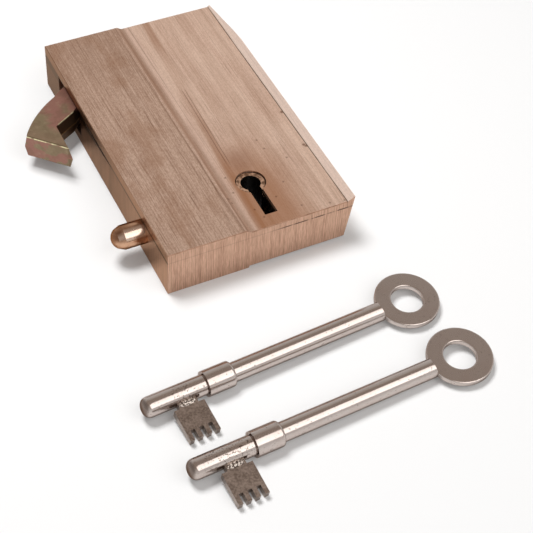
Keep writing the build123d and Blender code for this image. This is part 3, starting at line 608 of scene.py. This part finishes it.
        # The brown foot of the step, a pale strip, a wavy band and the tarnish round the keyhole
        step = x.between(STEP_X - 0.2, STEP_X + 0.2)
        step = step * (1.0 - x.between(STEP_X + 2.2, STEP_X + 4.6))
        colour = finish.blend(step * (0.42 + y.between(0.0, 30.0) * 0.12), colour, brown)
        strip = x.between(33.2, 35.0) * (1.0 - x.between(36.6, 38.4))
        colour = finish.blend(strip * 0.12, colour, srgb(228, 198, 186))
        line = x - BAND_X - y * BAND_SLANT
        band = 1.0 - (line + cloud * 2.0 - 1.0).absolute().between(0.7, 2.4)
        kept = 0.22 + 0.30 * (y.between(40.0, 52.0) + (y * -1.0).between(-12.0, 6.0))
        colour = finish.blend(band * (1.0 - raised) * kept, colour, srgb(150, 106, 78))
        near = (y * -1.0).between(8.0, 46.0) * (1.0 - x.between(48.0, 66.0))
        near = near * x.between(34.5, 39.0)
        colour = finish.blend(near * (0.48 + cloud * 0.42), colour, srgb(156, 104, 68))

        # An oval stain, two scored lines, pits and nicks of the rim
        wide, long = (x - STAIN_X) / STAIN_HALF_WIDTH, (y - STAIN_Y) / STAIN_HALF_LENGTH
        oval = (wide ** 2.0 + long ** 2.0) ** 0.5
        stain = 1.0 - (oval + cloud * 0.7).between(0.75, 1.75)
        colour = finish.blend(stain * 0.36, colour, srgb(132, 88, 62))
        reach = y.between(-31.0, -24.0) * (1.0 - y.between(15.0, 22.0))
        for gap in (0.0, SCORE_GAP):
            score = (x - SCORE_X + gap - y * SCORE_SLANT).absolute().between(0.03, 0.26)
            colour = finish.blend((1.0 - score) * reach * 0.55, colour, srgb(92, 62, 44))
        pits = finish.spots(PITS, 0.18, 0.45)
        colour = finish.blend(pits * 0.5, colour, srgb(70, 46, 32))
        dents = finish.spots(RIM_NICKS, 0.30, 0.7)
        return finish.blend(dents * 0.7, colour, srgb(96, 62, 42))


class GATELOCK_OT_hook(bpy.types.Operator):
    """Give the hook its mottled yellow passivation"""

    bl_idname = "gate_lock.hook"
    bl_label = "Hook"

    def execute(self, context):
        tones = context.scene.gate_lock_finishes
        finish = Finish("passivated hook steel")
        x, y, z = (finish.axis(which) for which in "XYZ")

        # Rose and olive patches, more olive on the flat near the nose
        clouds = finish.noise(
            (75.0, 75.0, 110.0), offset=(0.4, 1.1, 0.0), detail=4.0, roughness=0.6
        )
        grit = finish.noise((420.0, 420.0, 420.0), offset=(2.0, 0.0, 1.0))
        nose = x + y + NOSE_EDGE
        near_nose = 1.0 - nose.between(2.0, 11.0)
        flat = finish.facing("Z").between(0.4, 0.7)
        olive = (clouds + near_nose * (flat * 0.13 - 0.03)).between(0.43, 0.61)
        mottle = finish.noise((150.0, 150.0, 190.0), offset=(1.2, 0.4, 2.0)).between(0.46, 0.54)
        on_nose = near_nose * (1.0 - flat)
        olive = olive * (1.0 - flat * near_nose * 0.2) * (1.0 - on_nose) + mottle * on_nose
        colour = finish.blend(olive, tuple(tones.hook_rose), tuple(tones.hook_olive))
        colour = finish.blend(grit.between(0.50, 0.75) * 0.30, colour, srgb(176, 150, 124))
        patches = finish.noise((240.0, 240.0, 240.0), offset=(3.0, 1.0, 5.0), detail=2.0)
        colour = finish.blend(patches.between(0.48, 0.62) * 0.28, colour, srgb(112, 88, 70))

        # Painted shade on the walls of the throat, with a lighter line along its parting line
        throat = THROAT_COS * (y - THROAT_Y) - THROAT_SIN * (x + THROAT_OUT)
        wall = 1.0 - finish.facing("Z").absolute().between(0.3, 0.6)
        inside = (1.0 - throat.between(1.2, 1.6)) * x.between(-11.5, -10.5) * y.between(6.0, 9.0)
        parting = 1.0 - z.absolute().between(0.15, 0.60)
        dark = finish.blend(parting * 0.6, srgb(80, 60, 42), srgb(160, 128, 86))
        colour = finish.blend(inside * wall * 0.92, colour, dark)

        # Painted highlights, broken like wear, on the upper edges of nose and throat; painted
        # shade beside the nose's edge
        line = 1.0 - nose.absolute().between(0.12, 0.45)
        lip = 1.0 - (throat - 1.0).absolute().between(0.12, 0.40)
        lip = lip * x.between(-10.2, -9.6) * (1.0 - x.between(-3.0, -1.0))
        shade = (1.0 - (nose - 0.75).absolute().between(0.15, 0.45)) * flat
        colour = finish.blend(shade * 0.55, colour, srgb(74, 64, 40))
        wear_and_highlight = (line + lip).clamp() * z.between(*UPPER_EDGE) * grit.between(0.34, 0.56)
        colour = finish.blend(wear_and_highlight, colour, srgb(240, 232, 186))

        passivated = finish.metal(
            Base_Color=colour,
            Metallic=0.7,
            Roughness=0.34 + clouds * 0.12 - wear_and_highlight * 0.1,
            Normal=finish.bump(grit, 0.2 * MM, 0.35),
            Specular_Tint=HOOK_EDGE_ON,
        )
        paint(["hook_bolt"], passivated)
        return {"FINISHED"}


class GATELOCK_OT_pin(bpy.types.Operator):
    """Polish the locating pin, paint its highlight and the shade on its dome, and paint shade on
    the curtain's walls
    """

    bl_idname = "gate_lock.pin"
    bl_label = "Locating pin and curtain"

    def execute(self, context):
        tones = context.scene.gate_lock_finishes
        finish = Finish("polished pin brass")
        turned = finish.noise((2200.0, 60.0, 60.0))
        cloud = finish.noise((160.0, 160.0, 160.0)).between(0.35, 0.60)
        colour = finish.blend(cloud * 0.8, tuple(tones.pin_brass), srgb(128, 88, 64))
        # A painted highlight where the flank faces halfway between the front softbox and the
        # camera, and painted shade on the dome's upper edge
        wear_and_highlight = (finish.facing("Z") * 0.78 - finish.facing("Y") * 0.62).between(0.82, 0.97)
        colour = finish.blend(wear_and_highlight * 0.62, colour, srgb(240, 220, 204))
        rim = (finish.facing("X") * -1.0).between(0.25, 0.6) * finish.facing("Z").between(0.1, 0.5)
        colour = finish.blend(rim * (1.0 - wear_and_highlight) * 0.6, colour, srgb(104, 66, 44))
        polished = finish.metal(
            Base_Color=colour,
            Metallic=0.95,
            Roughness=0.13 + turned.between(0.4, 0.7) * 0.10,
            Normal=finish.bump(turned, 0.02 * MM, 0.4),
            Specular_Tint=PIN_EDGE_ON,
        )
        paint(["locating_pin"], polished)

        finish = Finish("tarnished and shaded curtain brass")
        grime_and_shade = finish.noise((500.0, 500.0, 500.0), detail=4.0)
        # Painted shade: the curtain's walls, down in the keyhole, are coloured near black; its
        # flat faces keep mottled tarnish
        face = finish.facing("Z").absolute().between(0.6, 0.9)
        wear_and_highlight = finish.blend(grime_and_shade.between(0.40, 0.62), srgb(190, 152, 126), srgb(106, 78, 58))
        colour = finish.blend(face, srgb(22, 17, 13), wear_and_highlight)
        normal = finish.bump(grime_and_shade, 0.1 * MM, 0.4)
        tarnished = finish.metal(Base_Color=colour, Metallic=0.6, Roughness=0.45, Normal=normal)
        paint(["key_curtain"], tarnished)
        return {"FINISHED"}


def key_frame(tip_x, tip_y, heading):
    """A key's tip, and its axes along the shank, across it and out of the bit's flat side."""
    heading, slope, roll = (math.radians(angle) for angle in (heading, KEY_SLOPE, KEY_ROLL))
    level = math.cos(slope)
    along = Vector((math.cos(heading) * level, math.sin(heading) * level, -math.sin(slope)))
    aside = Vector((-math.sin(heading), math.cos(heading), 0.0))
    across = aside * math.cos(roll) + along.cross(aside) * math.sin(roll)
    return Vector((tip_x, tip_y, TIP_Z)), along, across, along.cross(across)


KEY_FRAMES = {1: key_frame(-30.3, -112.2, 4.4), 2: key_frame(-26.1, -141.45, 3.75)}


class GATELOCK_OT_keys(bpy.types.Operator):
    """Plate the keys in worn nickel and braze their bits on"""

    bl_idname = "gate_lock.keys"
    bl_label = "Keys"

    def execute(self, context):
        tones = context.scene.gate_lock_finishes
        finish = Finish("worn key nickel")
        cloud = finish.noise((140.0, 140.0, 140.0), detail=4.0)
        speck = finish.noise((1500.0, 1500.0, 1500.0), detail=2.0).between(0.62, 0.70)
        pitted = finish.spots(BIT_NECKS, 3.5, 2.5)
        pitted = pitted.larger(finish.spots((WORN_PIN,), 8.0, 3.5) * 0.9)
        rust = finish.noise((1500.0, 1500.0, 1500.0), offset=(1.0, 4.0, 2.0), detail=2.0)
        rust = rust.between(0.58, 0.64)
        nickel = tuple(tones.nickel)
        colour = finish.blend(cloud.between(0.35, 0.7) * 0.35, nickel, srgb(188, 172, 164))
        marks = (speck * 0.5).larger(rust * pitted * 0.75)
        colour = finish.blend(marks, colour, srgb(84, 68, 58))
        dome = finish.spots([KEY_FRAMES[number][0].xy for number in KEYS], 2.2, 1.6)
        dome = dome * (finish.facing("X") * -1.0).between(0.2, 0.6)
        colour = finish.blend(dome * 0.8, colour, srgb(96, 80, 70))
        plated = finish.metal(
            Base_Color=colour,
            Metallic=1.0,
            Roughness=0.13 + cloud * 0.07 + speck * 0.2,
            Normal=finish.bump(cloud, 0.2 * MM, 0.12),
            Specular_Tint=KEY_EDGE_ON,
        )
        paint([f"key_{number}_{piece}" for number in KEYS for piece in ("shank", "bow")], plated)

        finish = Finish("rough key bit")
        cloud = finish.noise((260.0, 260.0, 260.0))
        grit = finish.noise((1300.0, 1300.0, 1300.0))
        tone = grit.between(0.36, 0.64) * 0.6 + cloud.between(0.36, 0.64) * 0.4
        colour = finish.blend(tone, srgb(122, 107, 97), srgb(168, 152, 141))
        normal = finish.bump(grit, 0.12 * MM, 0.5)
        rough_bit = finish.metal(Base_Color=colour, Metallic=0.85, Roughness=0.34, Normal=normal)
        paint([f"key_{number}_bit" for number in KEYS], rough_bit)

        finish = Finish("brazed bead")
        lumps = finish.noise((1500.0, 1500.0, 1500.0))
        colour = finish.blend(lumps.between(0.40, 0.58), srgb(88, 72, 62), srgb(236, 224, 214))
        normal = finish.bump(lumps, 0.6 * MM, 0.9)
        bead = finish.metal(Base_Color=colour, Metallic=0.9, Roughness=0.25, Normal=normal)
        for number in KEYS:
            self.braze(context, number, bead)
        return {"FINISHED"}

    def braze(self, context, number, material):
        """The rough bead of braze that joins the bit to the pin, on both sides of the bit."""
        tip, along, across, out = KEY_FRAMES[number]
        turn = Matrix((along, across, out)).transposed().to_4x4()
        placed = Matrix.Scale(MM, 4) @ Matrix.Translation(tip) @ turn
        mesh = bmesh.new()
        for side in (1.0, -1.0):
            made = bmesh.ops.create_icosphere(mesh, subdivisions=4, radius=1.0)["verts"]
            bmesh.ops.scale(mesh, verts=made, vec=BEAD_HALF_SIZES)
            bmesh.ops.translate(mesh, verts=made, vec=(BEAD_ALONG, BEAD_ASIDE, BEAD_RISE * side))
        shift = Vector((number * LUMP_SHIFT, 0.0, 0.0))
        for vertex in mesh.verts:
            vertex.co *= 1.0 + LUMP_SHARE * noise.noise(vertex.co * LUMPS_PER_MM + shift)
        bmesh.ops.transform(mesh, matrix=placed, verts=mesh.verts)
        data = bpy.data.meshes.new(f"key_{number}_braze")
        mesh.to_mesh(data)
        mesh.free()
        data.shade_smooth()
        data.materials.append(material)
        piece = bpy.data.objects.new(f"key_{number}_braze", data)
        context.scene.collection.objects.link(piece)
        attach(piece, f"key_{number}")


class GATELOCK_OT_inside(bpy.types.Operator):
    """Finish the levers, posts, bolt and screws inside the case"""

    bl_idname = "gate_lock.inside"
    bl_label = "Mechanism"

    def execute(self, context):
        lever_brass = grained(
            "blanked lever brass", (1400.0, 60.0, 1400.0),
            srgb(200, 168, 104), srgb(160, 128, 74), rough=0.32, metallic=0.9,
        )
        paint([f"lever_{number}" for number in LEVERS], lever_brass)
        paint(["lever_spacer", "hook_washer"], lever_brass)
        steel = grained(
            "machined steel", (1800.0, 120.0, 1800.0),
            srgb(168, 168, 170), srgb(128, 128, 130), rough=0.3,
        )
        paint(["hook_pivot_post", "drive_bolt", "drive_pin"], steel)
        paint(["bolt_stump", "lever_post", "cover_screws"], steel)
        blued = grained(
            "blued spring steel", (900.0, 900.0, 900.0),
            srgb(84, 88, 104), srgb(60, 62, 74), rough=0.25, detail=2.0, ridges=0.0,
        )
        paint([f"lever_spring_{number}" for number in LEVERS], blued)
        return {"FINISHED"}


STEPS = (
    GATELOCK_OT_stage,
    GATELOCK_OT_case,
    GATELOCK_OT_hook,
    GATELOCK_OT_pin,
    GATELOCK_OT_keys,
    GATELOCK_OT_inside,
)


class GATELOCK_PT_sidebar(bpy.types.Panel):
    """Buttons and colours for the gate lock"""

    bl_idname = "GATELOCK_PT_sidebar"
    bl_label = "Gate Lock"
    bl_space_type = "VIEW_3D"
    bl_region_type = "UI"
    bl_category = "Gate Lock"

    def draw(self, context):
        for settings in (context.scene.gate_lock_finishes, context.scene.gate_lock_stage):
            box = self.layout.box()
            for key in settings.__annotations__:
                box.prop(settings, key)
        for step in STEPS:
            self.layout.operator(step.bl_idname)


CLASSES = (GateLockFinishes, GateLockStage, *STEPS, GATELOCK_PT_sidebar)


def register():
    for kind in CLASSES:
        bpy.utils.register_class(kind)
    bpy.types.Scene.gate_lock_finishes = PointerProperty(type=GateLockFinishes)
    bpy.types.Scene.gate_lock_stage = PointerProperty(type=GateLockStage)


def unregister():
    del bpy.types.Scene.gate_lock_stage
    del bpy.types.Scene.gate_lock_finishes
    for kind in reversed(CLASSES):
        bpy.utils.unregister_class(kind)


def main():
    """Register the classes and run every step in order."""
    register()
    for step in STEPS:
        group, name = step.bl_idname.split(".")
        getattr(getattr(bpy.ops, group), name)()


if __name__ == "__main__":
    main()
